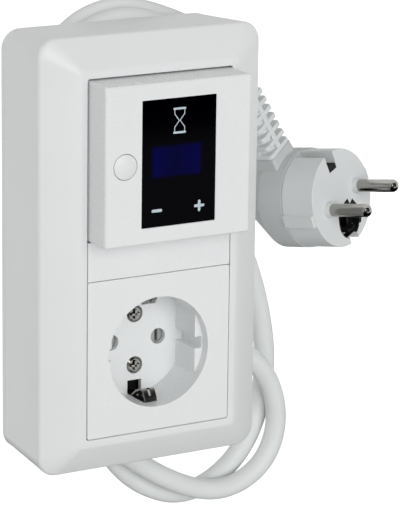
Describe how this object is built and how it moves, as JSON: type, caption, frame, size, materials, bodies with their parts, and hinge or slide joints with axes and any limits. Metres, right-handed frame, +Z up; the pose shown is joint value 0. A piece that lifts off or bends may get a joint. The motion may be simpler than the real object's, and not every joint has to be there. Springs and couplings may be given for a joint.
{
  "type": "countdown timer socket on a lead",
  "caption": "White surface housing with a push-button countdown timer above an earthed two-pin socket, on a short mains lead with a right-angle earthed plug.",
  "frame": {"origin": "centre of the rear face of the wall plate, midway between its two wall screw holes, where the housing is held", "axes": "+X to the right as the front is seen, +Y through the rear face towards the wall, +Z up along the long side with the timer above the socket"},
  "size_m": [0.1526, 0.0771, 0.1959],
  "materials": {
    "housing_plastic": "moulded white ABS, fine satin",
    "insert_plastic": "moulded white polycarbonate, satin gloss",
    "display_panel": "black acrylic, polished",
    "lead_pvc": "white PVC sheath",
    "plug_pvc": "white soft PVC, moulded on",
    "plated_steel": "zinc plated",
    "nickel_plated": "nickel plated brass",
    "contact_brass": "stamped",
    "circuit_board": "glass fibre laminate, green mask",
    "dark_moulding": "black thermoplastic",
    "grey_moulding": "grey thermoplastic",
    "coil_copper": "enamelled copper wire",
    "capacitor_blue": "blue epoxy"
  },
  "bodies": {
    "housing": {"base_plate": "housing_plastic", "bend_guard": "plug_pvc", "board_header": "dark_moulding", "board_screws": "plated_steel", "clamp_screws": "plated_steel", "control_board": "circuit_board", "cord_clamp": "grey_moulding", "cover_screws": "nickel_plated", "display_module": "dark_moulding", "display_window": "display_panel", "earth_bracket": "nickel_plated", "film_capacitor": "capacitor_blue", "hood_screws": "plated_steel", "housing_hood": "housing_plastic", "lead_end": "lead_pvc", "lead_entry": "lead_pvc", "line_contact": "contact_brass", "mains_lead": "lead_pvc", "module_case": "grey_moulding", "neutral_contact": "contact_brass", "plug_back": "plug_pvc", "plug_core": "dark_moulding", "plug_earth_clips": "nickel_plated", "plug_earth_sleeve": "nickel_plated", "plug_front": "plug_pvc", "plug_pins": "nickel_plated", "plug_strain_relief": "plug_pvc", "power_board": "circuit_board", "relay_base": "dark_moulding", "relay_coil": "coil_copper", "relay_contact": "contact_brass", "relay_yoke": "plated_steel", "ring_screws": "plated_steel", "shutter_spring": "plated_steel", "socket_base": "dark_moulding", "socket_cover": "insert_plastic", "socket_support_ring": "plated_steel", "spacer_bar": "insert_plastic", "tact_switch": "dark_moulding", "terminal_block": "grey_moulding", "terminal_screws": "plated_steel", "timer_block": "insert_plastic", "timer_front_plate": "insert_plastic", "timer_support_ring": "plated_steel", "touch_springs": "plated_steel", "varistor": "capacitor_blue"},
    "push_button": {"push_button": "insert_plastic"},
    "switch_plunger": {"switch_plunger": "grey_moulding"},
    "relay_armature": {"relay_armature": "plated_steel"},
    "socket_shutter": {"socket_shutter": "grey_moulding"}
  },
  "joints": [
    {"name": "button_press", "type": "slide", "parent": "housing", "child": "push_button", "axis": [0, 1, 0], "range_m": [0, 0.0008], "stiffness_N_per_m": 600, "springref_m": -0.0004},
    {"name": "plunger_press", "type": "slide", "parent": "housing", "child": "switch_plunger", "axis": [0, 1, 0], "range_m": [0, 0.0008], "stiffness_N_per_m": 200},
    {"name": "armature_pull", "type": "hinge", "parent": "housing", "child": "relay_armature", "pos_m": [0.009, -0.0278, 0.0425], "axis": [1, 0, 0], "range_deg": [0, 3.5], "stiffness_Nm_per_rad": 0.02, "springref_deg": -1.72},
    {"name": "shutter_turn", "type": "hinge", "parent": "housing", "child": "socket_shutter", "pos_m": [0, -0.0177, -0.0355], "axis": [0, 1, 0], "range_deg": [0, 45], "stiffness_Nm_per_rad": 0.004, "springref_deg": -8.59}
  ],
  "couplings": [
    {"joint": "plunger_press", "follows": "button_press", "ratio": 1}
  ]
}
